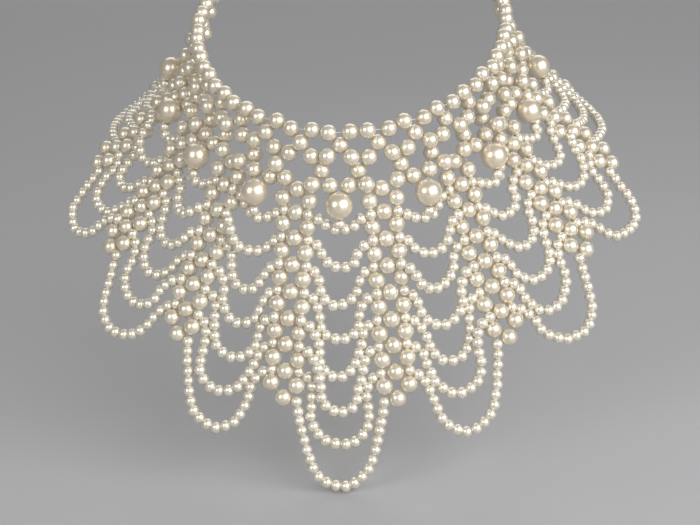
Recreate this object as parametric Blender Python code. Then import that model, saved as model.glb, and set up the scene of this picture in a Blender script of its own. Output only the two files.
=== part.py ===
"""A bib necklace of imitation pearls, worn form: a woven collar of round pearls under a neckline strand,
nine drop pearls, ten ladders of pearls, and rows of seed-bead swags that hang between the ladders.

Metres, +Z up, the wearer's front toward -Y. The origin is the middle of the neckline loop.
A place on the collar is given by how far it lies along the neckline from the centre front, how far down
the body it lies below the neckline, and its height off the woven layer's middle surface.
"""

import math
from bisect import bisect_right

import bmesh
import bpy
from mathutils import Vector
from mathutils.geometry import delaunay_2d_cdt

# Pearls, beads and the gap between touching pieces
PEARL_RADIUS = 0.0030
SEED_RADIUS = 0.00175
DROP_RADIUS = 0.0048
PIECE_GAP = 0.0003

# The neckline loop: an egg, deeper at the front, that rises toward the nape
NECK_HALF_WIDTH = 0.0595
NECK_FRONT_REACH = 0.0750
NECK_BACK_REACH = 0.0500
NECK_RISE_TO_NAPE = 0.357

# The body under the collar: its slope from level at the neckline and far below, in degrees, how sharply
# the front's and the nape's slopes fade toward the sides, and how many times more than at the neckline the
# collar turns to the back behind the shoulders, and the depth by which it does
FRONT_SLOPES = (81.0, 75.5)
SIDE_SLOPES = (88.0, 28.0)
NAPE_SLOPES = (80.0, 16.0)
FRONT_FADE = 1.4
NAPE_FADE = 1.25
NAPE_TURN = 3.2
NAPE_TURN_DEPTH = 0.0480
SLOPE_EASE_LENGTH = 0.0225

# The repeat: a drop pearl at each unit's middle and a ladder at each of its ends
UNIT_COUNT = 9
UNIT_SPACING = 0.0276
LEVELS_BY_LADDER_FROM_CENTRE = (8, 7, 6, 5, 4)
LADDER_HALF_SPLIT = 0.0042
LADDER_LEVEL_PITCH = 0.0094
FIRST_SINGLE_DEPTH = 0.0284

# The woven rows: share of a unit along the neckline from the unit's middle, depth in pearl diameters
NET_ROWS = (
    {"row": "second", "along": 0.0, "depth": 0.75},
    {"row": "second", "along": 0.5, "depth": 0.75},
    {"row": "third", "along": 0.141, "depth": 1.38},
    {"row": "third", "along": 0.359, "depth": 1.38},
    {"row": "fourth", "along": 0.235, "depth": 2.25},
    {"row": "fifth", "along": 0.115, "depth": 3.03},
    {"row": "fifth", "along": 0.325, "depth": 3.03},
    {"row": "ladder_top", "along": 0.5, "depth": 3.32},
)
END_PEARL_ALONG = 0.022
END_PEARL_DEPTH = 2.25
DROP_STAND_OFF = 0.0018

# The plates that stand for woven pearls, in pearl radii: a lobe's outline, an edge's half thickness, and
# the notch beside a ladder's single
LOBE_SHARE = 0.9
EDGE_SHARE = 0.33
NOTCH_SHARE = 1.53

# Swags: seeds added at each level below the first, the least length of a string over its span, and the
# narrowest slit left between two swags
SEEDS_PER_LEVEL = 2
LEAST_SLACK = 1.08
SEED_PITCH = 2 * SEED_RADIUS
NARROWEST_SLIT = 0.0010
SWAG_POINTS = 8

# The neckline strand's bead: distance from the bead's middle and radius, in pearl radii
STRAND_BEAD_PROFILE = (
    {"along": -0.42, "radius": 0.93},
    {"along": 0.42, "radius": 0.93},
)
STRAND_WAIST_SHARE = 0.34
STRAND_SIDES = 10
DROP_SIDES = 12
DROP_RINGS = 7

# The clasp, a plain turned barrel at the nape
CLASP_LENGTH = 0.0115
CLASP_RADIUS = 0.0030
CLASP_SIDES = 12
CLASP_PROFILE = (
    {"along": -0.50, "radius": 0.40},
    {"along": -0.40, "radius": 0.50},
    {"along": -0.34, "radius": 0.90},
    {"along": -0.10, "radius": 1.00},
    {"along": -0.05, "radius": 0.88},
    {"along": 0.05, "radius": 0.88},
    {"along": 0.10, "radius": 1.00},
    {"along": 0.34, "radius": 0.90},
    {"along": 0.40, "radius": 0.50},
    {"along": 0.50, "radius": 0.40},
)

# Colours: pearl coats and the clasp's metal
PEARL_COLOUR = (0.82, 0.77, 0.66, 1.0)
DROP_COLOUR = (0.80, 0.72, 0.60, 1.0)
SEED_COLOUR = (0.85, 0.81, 0.72, 1.0)
CLASP_COLOUR = (0.62, 0.61, 0.58, 1.0)
PEARL_ROUGHNESS = 0.25
CLASP_ROUGHNESS = 0.3

ANGLE_STEPS = 720
SLOPE_STEPS = 16
PROBE = 0.0004


def clear_scene():
    """Remove what the file holds, so that the part stands alone."""
    for item in list(bpy.data.objects):
        bpy.data.objects.remove(item, do_unlink=True)


def neck_point(angle):
    """A point of the neckline at this angle from the centre front."""
    reach = NECK_FRONT_REACH if math.cos(angle) > 0 else NECK_BACK_REACH
    y = -reach * math.cos(angle)
    return Vector((NECK_HALF_WIDTH * math.sin(angle), y, NECK_RISE_TO_NAPE * y))


def neck_lengths():
    """Length along the neckline from the centre front to each angle step of the right half."""
    lengths = [0.0]
    here = neck_point(0.0)
    for step in range(1, ANGLE_STEPS + 1):
        there = neck_point(math.pi * step / ANGLE_STEPS)
        lengths.append(lengths[-1] + (there - here).length)
        here = there
    return lengths


NECK_LENGTHS = neck_lengths()
HALF_LOOP = NECK_LENGTHS[-1]


def neck_angle(along):
    """The angle at a signed length along the neckline."""
    length = min(abs(along), HALF_LOOP)
    step = min(bisect_right(NECK_LENGTHS, length), ANGLE_STEPS)
    low, high = NECK_LENGTHS[step - 1], NECK_LENGTHS[step]
    angle = math.pi * (step - 1 + (length - low) / (high - low)) / ANGLE_STEPS
    return math.copysign(angle, along)


def slopes_at(angle):
    """The body's slope at the neckline and far below it, in radians."""
    front = max(math.cos(angle), 0.0) ** FRONT_FADE
    nape = max(-math.cos(angle), 0.0) ** NAPE_FADE
    side = 1.0 - front - nape
    return [
        math.radians(front * f + side * s + nape * b)
        for f, s, b in zip(FRONT_SLOPES, SIDE_SLOPES, NAPE_SLOPES)
    ]


def body_point(along, down, height=0.0):
    """A point of the collar: along the neckline, down the body, and off the middle surface."""
    angle = neck_angle(along)
    near, far = slopes_at(angle)
    out = fall = 0.0
    for step in range(SLOPE_STEPS):
        share = (step + 0.5) / SLOPE_STEPS
        slope = far + (near - far) * math.exp(-down * share / SLOPE_EASE_LENGTH)
        out += math.cos(slope) * down / SLOPE_STEPS
        fall += math.sin(slope) * down / SLOPE_STEPS
    slope = far + (near - far) * math.exp(-down / SLOPE_EASE_LENGTH)
    turn = 1.0 / NECK_FRONT_REACH
    if math.cos(angle) <= 0:
        turned = 1.0 - math.exp(-((down / NAPE_TURN_DEPTH) ** 2))
        turn = (1.0 + (NAPE_TURN - 1.0) * turned) / NECK_BACK_REACH
    away = Vector((math.sin(angle) / NECK_HALF_WIDTH, -math.cos(angle) * turn, 0.0)).normalized()
    start = neck_point(angle)
    place = start + away * (out + height * math.sin(slope))
    place.z += height * math.cos(slope) - fall
    return place


def surface_frame(along, down):
    """The body's directions at a point: along the neckline, down the body (both per metre) and outward."""
    sideways = (body_point(along + PROBE, down) - body_point(along - PROBE, down)) / (2 * PROBE)
    downward = (body_point(along, down + PROBE) - body_point(along, down - PROBE)) / (2 * PROBE)
    return sideways, downward, downward.cross(sideways).normalized()


def spread(along, down):
    """How many times wider the collar is at this depth than at the neckline."""
    return surface_frame(along, down)[0].length


def beside(along, down, offset):
    """The neckline length of a point that lies this real distance beside another."""
    return along + offset / spread(along, down)


def nearest_on_body(point, along, down):
    """Neckline length and depth of the point of the body nearest to this one, from a first guess."""
    for _ in range(4):
        sideways, downward, _normal = surface_frame(along, down)
        miss = point - body_point(along, down)
        cross = sideways.dot(downward)
        area = sideways.length_squared * downward.length_squared - cross * cross
        along += (miss.dot(sideways) * downward.length_squared - miss.dot(downward) * cross) / area
        down += (miss.dot(downward) * sideways.length_squared - miss.dot(sideways) * cross) / area
    return along, down


def ladder_along(index):
    """Neckline length of the ladder at the right end of unit number index."""
    return (index + 0.5) * UNIT_SPACING


def ladder_levels(index):
    """How many levels the ladder at the right end of unit number index has."""
    return LEVELS_BY_LADDER_FROM_CENTRE[int(abs(index + 0.5))]


def single_depth(level):
    """Depth of a ladder's single pearl at this level, counted from 1."""
    return FIRST_SINGLE_DEPTH + (level - 1) * LADDER_LEVEL_PITCH


def pair_depth(level):
    """Depth of a ladder's pair of pearls, halfway between its singles."""
    return single_depth(level) - LADDER_LEVEL_PITCH / 2


def swag_end(index, level, side):
    """The mouth of a ladder's single where a swag's thread starts, on the side of this sign."""
    down = single_depth(level)
    return body_point(beside(ladder_along(index), down, side * PEARL_RADIUS), down)


def first_swag_seeds():
    """Seeds that fill the shortest swag, between the two middle ladders' first singles."""
    chord = swag_end(0, 1, -1) - swag_end(-1, 1, 1)
    return math.ceil(chord.length / SEED_PITCH)


def hanging_curve(width, drop, length, steps):
    """Points of a string of this length hung between two points: distance across and distance down."""
    ratio = math.sqrt(length * length - drop * drop) / width
    low, high = 1e-3, 12.0
    for _ in range(60):
        middle = (low + high) / 2
        if math.sinh(middle) / middle < ratio:
            low = middle
        else:
            high = middle
    sharpness = width / (2 * low)
    lowest = width / 2 + sharpness * math.atanh(drop / length)
    start = math.sinh(-lowest / sharpness)
    points = []
    for step in range(steps + 1):
        bend = start + length * step / steps / sharpness
        across = lowest + sharpness * math.asinh(bend)
        down = sharpness * (math.cosh(lowest / sharpness) - math.cosh((across - lowest) / sharpness))
        points.append((across, down))
    return points


def swag_path(unit, level):
    """Neckline length and depth of each point of the swag's middle line, from the left ladder to the right."""
    left, right = swag_end(unit - 1, level, 1), swag_end(unit, level, -1)
    middle, depth = unit * UNIT_SPACING, single_depth(level)
    downhill = surface_frame(middle, depth)[1].normalized()
    chord = right - left
    across = (chord - downhill * chord.dot(downhill)).normalized()
    seeds = SEEDS_PER_LEVEL * (level - 1) + first_swag_seeds()
    length = max(seeds * SEED_PITCH, chord.length * LEAST_SLACK)
    steps = 4 * SWAG_POINTS
    path = []
    for x, y in hanging_curve(chord.dot(across), chord.dot(downhill), length, steps):
        guess = middle + (x / chord.length - 0.5) * UNIT_SPACING * 0.8
        path.append(nearest_on_body(left + across * x + downhill * y, guess, depth + y))
    return path


def swag_side_offset():
    """Real distance from a ladder's middle line to the edge of the swags beside it."""
    return LADDER_HALF_SPLIT + LOBE_SHARE * PEARL_RADIUS + PIECE_GAP


def keep_beside_ladders(path, unit, offset):
    """Move points that lie closer than this offset to a ladder out to it, and keep one such point a side."""
    kept, held = [], []
    for along, down in path:
        left = beside(ladder_along(unit - 1), down, offset)
        right = beside(ladder_along(unit), down, -offset)
        near_left, near_right = along <= left, along >= right
        held.append(-1 if near_left else 1 if near_right else 0)
        kept.append((left if near_left else right if near_right else along, down))
    lead = max((i for i, side in enumerate(held) if side < 0), default=0)
    trail = min((i for i, side in enumerate(held) if side > 0 and i > lead), default=len(path) - 1)
    return kept[lead : trail + 1]


def held_beside_ladders(path, unit, offset):
    """The whole path, with points that lie closer than this offset to a ladder moved out to it."""
    held = []
    for along, down in path:
        left = beside(ladder_along(unit - 1), down, offset)
        right = beside(ladder_along(unit), down, -offset)
        held.append((min(max(along, left), right), down))
    return held


def shifted(path, distance):
    """The path moved sideways by a real distance, toward the side that lies below a hanging swag."""
    moved = []
    for index, (along, down) in enumerate(path):
        before, after = path[max(index - 1, 0)], path[min(index + 1, len(path) - 1)]
        wide = spread(along, down)
        step = Vector(((after[0] - before[0]) * wide, after[1] - before[1])).normalized()
        moved.append((along - step.y * distance / wide, down + step.x * distance))
    return moved


def thinned(path, count):
    """This many points of the path, evenly taken, with both ends."""
    last = len(path) - 1
    picks = sorted({round(last * i / (count - 1)) for i in range(count)})
    return [path[i] for i in picks]


def slit_between(upper, lower, unit):
    """The outline of the open space between two swags, or None where they leave no room."""
    above, below = shifted(upper, SEED_RADIUS), shifted(lower, -SEED_RADIUS)
    wide = []
    for a, b, centre, next_centre in zip(above, below, upper, upper[1:] + lower[-1:]):
        width = spread(*centre)
        step = Vector(((next_centre[0] - centre[0]) * width, next_centre[1] - centre[1])).normalized()
        gap = Vector(((b[0] - a[0]) * width, b[1] - a[1]))
        wide.append(-step.y * gap.x + step.x * gap.y >= NARROWEST_SLIT)
    middle = len(wide) // 2
    if not wide[middle]:
        return None
    first = max((i + 1 for i in range(middle) if not wide[i]), default=0)
    last = min((i for i in range(middle, len(wide) - 1) if not wide[i]), default=len(wide) - 1)
    edge = swag_side_offset() + 2 * SEED_RADIUS
    top = keep_beside_ladders(above[first:last], unit, edge)
    bottom = keep_beside_ladders(below[first:last], unit, edge)
    return thinned(top, SWAG_POINTS - 2) + thinned(bottom, SWAG_POINTS)[::-1]


def inside(point, outline):
    """Whether a flat point lies inside a closed outline."""
    x, y = point
    found = False
    previous = outline[-1]
    for corner in outline:
        if (corner[1] > y) != (previous[1] > y):
            cut = (previous[0] - corner[0]) * (y - corner[1]) / (previous[1] - corner[1]) + corner[0]
            if x < cut:
                found = not found
        previous = corner
    return found


def flat_triangles(outline, holes, ridges):
    """Triangles of the outline without its holes, with an edge along each ridge."""
    scale = 1000.0
    points, edges = [], []
    for loop in [outline] + holes:
        first = len(points)
        points += [Vector((x * scale, y * scale)) for x, y in loop]
        edges += [(first + i, first + (i + 1) % len(loop)) for i in range(len(loop))]
    for line in ridges:
        first = len(points)
        points += [Vector((x * scale, y * scale)) for x, y in line]
        edges += [(first + i, first + i + 1) for i in range(len(line) - 1)]
    places, _edges, faces, _v, _e, _f = delaunay_2d_cdt(points, edges, [], 0, 1e-4)
    places = [(p.x / scale, p.y / scale) for p in places]
    kept = []
    for face in faces:
        centre = (sum(places[i][0] for i in face) / 3, sum(places[i][1] for i in face) / 3)
        if inside(centre, outline) and not any(inside(centre, hole) for hole in holes):
            kept.append(tuple(face))
    return places, kept


def edge_directions(faces):
    """The directed edges that only one face has: the rims of the outline and of its holes."""
    directed = {(f[i], f[(i + 1) % 3]) for f in faces for i in range(3)}
    return [edge for edge in directed if edge[::-1] not in directed]


def make_plate(name, outline, holes, ridges, crest, rim, material):
    """A pierced plate on the body: half as thick as its rim at each edge, and as its crest on the ridges."""
    places, faces = flat_triangles(outline, holes, ridges)
    border = edge_directions(faces)
    on_border = {i for edge in border for i in edge}
    used = sorted({i for face in faces for i in face})
    mesh = bmesh.new()
    top, bottom = {}, {}
    for i in used:
        height = rim if i in on_border else crest
        top[i] = mesh.verts.new(body_point(*places[i], height))
        bottom[i] = mesh.verts.new(body_point(*places[i], -height))
    for face in faces:
        mesh.faces.new([top[i] for i in face])
        mesh.faces.new([bottom[i] for i in reversed(face)])
    for a, b in border:
        mesh.faces.new([top[b], top[a], bottom[a], bottom[b]])
    return add_object(name, mesh, material)


def make_turned(name, rings, sides, material):
    """A closed body of round rings, each given as its centre, its two cross directions and its radius."""
    mesh = bmesh.new()
    loops = []
    for centre, first, second, radius in rings:
        turn = [2 * math.pi * side / sides for side in range(sides)]
        loops.append(
            [mesh.verts.new(centre + (first * math.cos(a) + second * math.sin(a)) * radius) for a in turn]
        )
    for ring, following in zip(loops, loops[1:]):
        for side in range(sides):
            other = (side + 1) % sides
            mesh.faces.new([ring[side], ring[other], following[other], following[side]])
    mesh.faces.new(loops[0][::-1])
    mesh.faces.new(loops[-1])
    return add_object(name, mesh, material)


def add_object(name, mesh, material):
    """Turn a bmesh with outward faces into a named object with its material."""
    bmesh.ops.recalc_face_normals(mesh, faces=mesh.faces)
    data = bpy.data.meshes.new(name)
    mesh.to_mesh(data)
    mesh.free()
    data.materials.append(material)
    item = bpy.data.objects.new(name, data)
    bpy.context.scene.collection.objects.link(item)
    return item


def make_material(name, colour, roughness, metallic):
    """A plain finish."""
    material = bpy.data.materials.new(name)
    material.use_nodes = True
    shader = material.node_tree.nodes["Principled BSDF"]
    shader.inputs["Base Color"].default_value = colour
    shader.inputs["Roughness"].default_value = roughness
    shader.inputs["Metallic"].default_value = metallic
    material.diffuse_color = colour
    return material


def front_pearls():
    """Neckline lengths of the paired pearls over the net, from the left end to the right."""
    pairs = 2 * UNIT_COUNT
    first = -(pairs - 1) / 2
    middles = [(first + pair) * UNIT_SPACING / 2 for pair in range(pairs)]
    return [middle + side * PEARL_RADIUS for middle in middles for side in (-1, 1)]


def back_pearls():
    """Neckline lengths of the plain pearls between the net's right end and the clasp."""
    start = UNIT_COUNT * UNIT_SPACING / 2
    end = HALF_LOOP - CLASP_LENGTH / 2 - PIECE_GAP
    count = int((end - start) / (2 * PEARL_RADIUS))
    pitch = (end - start) / count
    return [start + (number + 0.5) * pitch for number in range(count)]


def make_neckline_strand(material):
    """The top strand of pearls, from one end of the clasp round the front to its other end."""
    back = back_pearls()
    middles = [-along for along in reversed(back)] + front_pearls() + back
    waist = STRAND_WAIST_SHARE * PEARL_RADIUS
    end = HALF_LOOP - CLASP_LENGTH / 2 - PIECE_GAP
    profile = [(-end, waist)]
    for number, along in enumerate(middles):
        if number:
            gap = along - middles[number - 1] - 2 * PEARL_RADIUS
            profile.append((along - PEARL_RADIUS - gap / 2, waist))
        profile += [
            (along + point["along"] * PEARL_RADIUS, point["radius"] * PEARL_RADIUS)
            for point in STRAND_BEAD_PROFILE
        ]
    profile.append((end, waist))
    rings = []
    for along, radius in profile:
        sideways, _down, outward = surface_frame(along, 0.0)
        sideways.normalize()
        outward = (outward - sideways * outward.dot(sideways)).normalized()
        rings.append((body_point(along, 0.0), outward, sideways.cross(outward), radius))
    return make_turned("neckline_strand", rings, STRAND_SIDES, material)


def make_clasp(material):
    """The clasp's plain barrel, on the line of the strand at the nape."""
    length_axis, up, across = Vector((1, 0, 0)), Vector((0, 0, 1)), Vector((0, 1, 0))
    rings = [
        (length_axis * point["along"] * CLASP_LENGTH, across, up, point["radius"] * CLASP_RADIUS)
        for point in CLASP_PROFILE
    ]
    clasp = make_turned("clasp", rings, CLASP_SIDES, material)
    clasp.location = neck_point(math.pi)
    return clasp


def net_places():
    """Every pearl of the net by row, as neckline length and depth, and the two that close its ends."""
    half = UNIT_COUNT // 2
    places = []
    for unit in range(-half, half + 1):
        for entry in NET_ROWS:
            for side in (-1, 1):
                repeat = side > 0 and entry["along"] == 0.0
                shared = side < 0 and entry["along"] == 0.5 and unit > -half
                if not repeat and not shared:
                    along = (unit + side * entry["along"]) * UNIT_SPACING
                    places.append((along, entry["depth"] * 2 * PEARL_RADIUS))
    for side in (-1, 1):
        along = side * (UNIT_COUNT / 2 + END_PEARL_ALONG) * UNIT_SPACING
        places.append((along, END_PEARL_DEPTH * 2 * PEARL_RADIUS))
    return places


def row_depth(row):
    """Depth of a net row's middle line."""
    return next(entry["depth"] for entry in NET_ROWS if entry["row"] == row) * 2 * PEARL_RADIUS


def row_along(row, which=0):
    """Neckline length of a net row's pearl from its unit's middle, the inner one first."""
    return [entry["along"] for entry in NET_ROWS if entry["row"] == row][which] * UNIT_SPACING


def net_top_edge(middle):
    """The net's upper edge from one second-row pearl toward the next, half a unit on."""
    lobe = LOBE_SHARE * PEARL_RADIUS
    second, third = row_depth("second"), row_depth("third")
    inner, outer = row_along("third"), row_along("third", 1)
    return [
        (middle, second - 0.85 * lobe),
        (middle + 0.7 * lobe, second - 0.5 * lobe),
        (middle + inner, third - 0.85 * lobe),
        (middle + (inner + outer) / 2, third - 0.4 * lobe),
        (middle + outer, third - 0.85 * lobe),
        (middle + inner + outer - 0.7 * lobe, second - 0.5 * lobe),
    ]


def net_bottom_edge(middle):
    """The net's lower edge across one unit, from its left ladder-top pearl toward the next unit."""
    lobe = LOBE_SHARE * PEARL_RADIUS
    fifth, top = row_depth("fifth"), row_depth("ladder_top")
    inner, outer = row_along("fifth"), row_along("fifth", 1)
    right = [
        (0.0, fifth + 0.55 * lobe),
        (inner, fifth + lobe),
        ((inner + outer) / 2, fifth + 0.75 * lobe),
        (outer, fifth + lobe),
        (UNIT_SPACING / 2 - 0.95 * lobe, top + 0.15 * lobe),
        (UNIT_SPACING / 2 - 0.6 * lobe, top + 0.72 * lobe),
    ]
    left = [(-x, y) for x, y in right[:0:-1]]
    return [(middle + x, y) for x, y in [(-UNIT_SPACING / 2, top + lobe)] + left + right]


def net_middle_hole(middle):
    """The open cell under a second-row pearl and over the drop."""
    lobe = LOBE_SHARE * PEARL_RADIUS
    second, third, fourth, fifth = (row_depth(row) for row in ("second", "third", "fourth", "fifth"))
    right = [
        (row_along("third") - 0.85 * lobe, third + 0.5 * lobe),
        (row_along("fourth") - 1.0 * lobe, fourth),
        (row_along("fifth") - 0.6 * lobe, fifth - 0.75 * lobe),
    ]
    top = (0.0, second + 1.35 * lobe)
    return [(middle + x, y) for x, y in [top] + right + [(-x, y) for x, y in right[::-1]]]


def net_end_hole(middle, open_left=True, open_right=True):
    """The open cell over a ladder-top pearl, cut narrower on a side where the net's end pearl closes it."""
    lobe = LOBE_SHARE * PEARL_RADIUS
    second, third, fourth, top = (row_depth(row) for row in ("second", "third", "fourth", "ladder_top"))
    half = UNIT_SPACING / 2
    wide = [
        (half - row_along("third", 1) - 0.9 * lobe, third + 0.55 * lobe),
        (half - row_along("fourth") - 1.0 * lobe, fourth),
        (half - row_along("fifth", 1) - 0.75 * lobe, row_depth("fifth") - 0.85 * lobe),
    ]
    closed = [(-0.35 * lobe, third + 0.55 * lobe), (END_PEARL_ALONG * UNIT_SPACING - 1.05 * lobe, fourth)]
    right = wide if open_right else closed
    left = wide if open_left else closed
    outline = [(0.0, second + 1.35 * lobe)] if open_left and open_right else []
    outline += right + [(0.0, top - 1.1 * lobe)] * (open_left and open_right)
    outline += [(-x, y) for x, y in left[::-1]]
    return [(middle + x, y) for x, y in outline]


def make_net(material):
    """The woven rows between the neckline strand and the ladders, one pierced band."""
    lobe = LOBE_SHARE * PEARL_RADIUS
    half = UNIT_COUNT // 2
    end = UNIT_COUNT * UNIT_SPACING / 2
    upper = []
    for number in range(2 * UNIT_COUNT):
        upper += net_top_edge(-end + number * UNIT_SPACING / 2)
    lower = []
    for unit in range(-half, half + 1):
        lower += net_bottom_edge(unit * UNIT_SPACING)
    bulge = END_PEARL_ALONG * UNIT_SPACING
    cap = [
        (0.0, row_depth("second") - 0.85 * lobe),
        (0.7 * lobe, row_depth("second") - 0.5 * lobe),
        (0.9 * lobe, row_depth("third") + 0.2 * lobe),
        (bulge + lobe, row_depth("fourth")),
        (0.9 * lobe, row_depth("fifth")),
        (0.9 * lobe, row_depth("ladder_top") + 0.3 * lobe),
        (0.0, row_depth("ladder_top") + lobe),
    ]
    right_cap = [(end + x, y) for x, y in cap]
    left_cap = [(-end - x, y) for x, y in cap[-2:0:-1]]
    outline = upper + right_cap + lower[:0:-1] + [lower[0]] + left_cap
    holes = [net_middle_hole(unit * UNIT_SPACING) for unit in range(-half, half + 1)]
    for index in range(-half - 1, half + 1):
        left, right = index > -half - 1, index < half
        holes.append(net_end_hole(ladder_along(index), left, right))
    crests = [[place] for place in net_places()]
    return make_plate("net", outline, holes, crests, PEARL_RADIUS, EDGE_SHARE * PEARL_RADIUS, material)


def make_ladder(number, index, material):
    """A ladder of pearl pairs and singles, one knobbly band with an eye in each pair but the first."""
    lobe = LOBE_SHARE * PEARL_RADIUS
    edge = LADDER_HALF_SPLIT + lobe
    eye_half_width = LADDER_HALF_SPLIT - PEARL_RADIUS
    eye_half_height = LADDER_LEVEL_PITCH / 2 - PEARL_RADIUS
    first, levels = pair_depth(1), ladder_levels(index)
    right = [(LADDER_HALF_SPLIT, first - 0.85 * lobe)]
    crests, eyes = [], []
    for level in range(1, levels + 1):
        pair, single = pair_depth(level), single_depth(level)
        right += [(edge, pair - 0.4 * lobe), (edge, pair + 0.4 * lobe), (NOTCH_SHARE * PEARL_RADIUS, single)]
        crests += [(-LADDER_HALF_SPLIT, pair), (LADDER_HALF_SPLIT, pair), (0.0, single)]
        eye = [(0.0, pair - eye_half_height), (eye_half_width, pair)]
        eye += [(0.0, pair + eye_half_height), (-eye_half_width, pair)]
        eyes.append(eye)
    end = single_depth(levels)
    right[-1] = (lobe, end)
    right.append((0.6 * lobe, end + 0.8 * lobe))
    dip = [(-1.1 * eye_half_width, first - 0.4 * lobe), (0.0, first + 0.45 * lobe)]
    dip.append((1.1 * eye_half_width, first - 0.4 * lobe))
    outline = dip + right + [(-x, y) for x, y in right[::-1]]

    def placed(points):
        middle = ladder_along(index)
        return [(beside(middle, down, offset), down) for offset, down in points]

    ridges = [[place] for place in placed(crests)]
    holes = [placed(eye) for eye in eyes[1:]]
    rim = EDGE_SHARE * PEARL_RADIUS
    return make_plate(f"ladder_{number}", placed(outline), holes, ridges, PEARL_RADIUS, rim, material)


def make_garland(number, unit, material):
    """The seed-bead swags of one unit, joined where they meet beside the ladders."""
    levels = min(ladder_levels(unit - 1), ladder_levels(unit))
    edge = swag_side_offset()
    middle_line = edge + SEED_RADIUS
    full = [swag_path(unit, level) for level in range(1, levels + 1)]
    paths = [keep_beside_ladders(path, unit, middle_line) for path in full]
    pinned = [held_beside_ladders(path, unit, middle_line) for path in full]
    slits = [slit_between(upper, lower, unit) for upper, lower in zip(pinned, pinned[1:])]
    holes = [slit for slit in slits if slit]
    ridges = [thinned(path, SWAG_POINTS) for path in paths]
    top = shifted(ridges[0], -SEED_RADIUS)
    bottom = shifted(ridges[-1], SEED_RADIUS)
    sides = []
    for end, ladder, offset in ((0, ladder_along(unit - 1), edge), (-1, ladder_along(unit), -edge)):
        depths = [ridges[0][end][1] - SEED_RADIUS] + [ridge[end][1] for ridge in ridges]
        sides.append([(beside(ladder, depth, offset), depth) for depth in depths])
    outline = top + sides[1] + bottom[::-1] + sides[0][::-1]
    for end in (0, -1):
        ridges.append([ridge[end] for ridge in ridges[:levels]])
    rim = EDGE_SHARE * SEED_RADIUS
    return make_plate(f"garland_{number}", outline, holes, ridges, SEED_RADIUS, rim, material)


def make_drop(number, unit, material):
    """A drop pearl under the two middle pearls of the net's fifth row."""
    along = row_along("fifth")
    seat = row_depth("fifth")
    reach = DROP_RADIUS + PEARL_RADIUS + PIECE_GAP
    aside = along * spread(0.0, seat)
    depth = seat + math.sqrt(reach**2 - aside**2 - DROP_STAND_OFF**2)
    mesh = bmesh.new()
    bmesh.ops.create_uvsphere(mesh, u_segments=DROP_SIDES, v_segments=DROP_RINGS, radius=DROP_RADIUS)
    drop = add_object(f"drop_pearl_{number}", mesh, material)
    drop.location = body_point(unit * UNIT_SPACING, depth, DROP_STAND_OFF)
    return drop


def main():
    """Build the necklace."""
    clear_scene()
    pearl = make_material("pearl_coat", PEARL_COLOUR, PEARL_ROUGHNESS, 0.0)
    seed = make_material("seed_bead_coat", SEED_COLOUR, PEARL_ROUGHNESS, 0.0)
    big = make_material("drop_pearl_coat", DROP_COLOUR, PEARL_ROUGHNESS, 0.0)
    metal = make_material("clasp_metal", CLASP_COLOUR, CLASP_ROUGHNESS, 1.0)
    make_neckline_strand(pearl)
    make_clasp(metal)
    make_net(pearl)
    half = UNIT_COUNT // 2
    for number, index in enumerate(range(-half - 1, half + 1), start=1):
        make_ladder(number, index, pearl)
    for number, unit in enumerate(range(-half, half + 1), start=1):
        make_garland(number, unit, seed)
        make_drop(number, unit, big)


main()
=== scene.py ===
"""Looks of a woven bib necklace of imitation pearls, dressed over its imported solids.

Metres, +Z up, the front toward -Y. A place on the collar is given by its length along the neckline from
the centre front, its depth below the neckline, and its height off the smooth surface through the middles
of the pearls. The round pearls are pushed apart until they only touch, and then the seed-bead swags are
hung between the ladders and left to settle on that surface and against the pearls beside them.
"""

import logging
import math
from dataclasses import dataclass, field
from enum import Enum
from functools import cached_property

import bmesh
import bpy
import numpy as np
from bpy.types import ID, Material, Mesh, Node, NodeSocket, NodeTree, Object, bpy_prop_collection
from mathutils import Matrix, Vector


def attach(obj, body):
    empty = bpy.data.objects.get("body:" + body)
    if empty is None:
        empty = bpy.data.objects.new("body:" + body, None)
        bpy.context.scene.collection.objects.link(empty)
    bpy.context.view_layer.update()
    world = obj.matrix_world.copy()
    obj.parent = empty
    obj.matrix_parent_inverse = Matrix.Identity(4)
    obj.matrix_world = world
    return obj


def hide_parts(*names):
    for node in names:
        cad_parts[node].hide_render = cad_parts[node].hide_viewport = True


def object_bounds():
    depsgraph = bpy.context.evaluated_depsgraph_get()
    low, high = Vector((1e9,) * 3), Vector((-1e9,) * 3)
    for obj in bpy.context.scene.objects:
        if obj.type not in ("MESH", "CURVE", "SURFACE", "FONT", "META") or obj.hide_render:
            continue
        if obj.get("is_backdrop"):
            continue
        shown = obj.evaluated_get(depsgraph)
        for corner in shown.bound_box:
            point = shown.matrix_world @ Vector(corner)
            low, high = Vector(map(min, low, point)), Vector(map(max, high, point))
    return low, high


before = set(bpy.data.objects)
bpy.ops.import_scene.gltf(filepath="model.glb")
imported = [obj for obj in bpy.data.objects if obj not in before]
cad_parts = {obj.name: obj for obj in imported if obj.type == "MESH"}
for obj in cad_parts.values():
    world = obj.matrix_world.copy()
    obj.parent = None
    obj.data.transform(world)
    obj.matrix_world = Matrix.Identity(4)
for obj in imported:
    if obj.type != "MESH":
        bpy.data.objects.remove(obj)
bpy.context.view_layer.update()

LEAST_DISTANCE = 1e-6
LEAST_SAG = 1e-9
CURVE_RANGE = (1e-3, 12.0)
CURVE_HALVINGS = 60
NET_SEED = 102
LADDER_SEED = 110
GARLAND_SEED = 200
MAKER_LOG = logging.getLogger("bib_necklace")


class Side(Enum):
    """The two sides of a ladder or of the collar, with the sign of the way along the neckline."""

    LEFT = -1
    RIGHT = 1


class Row(Enum):
    """The woven rows of the net, from the neckline down."""

    SECOND = "second"
    THIRD = "third"
    FOURTH = "fourth"
    FIFTH = "fifth"
    LADDER_TOP = "ladder_top"


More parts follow.
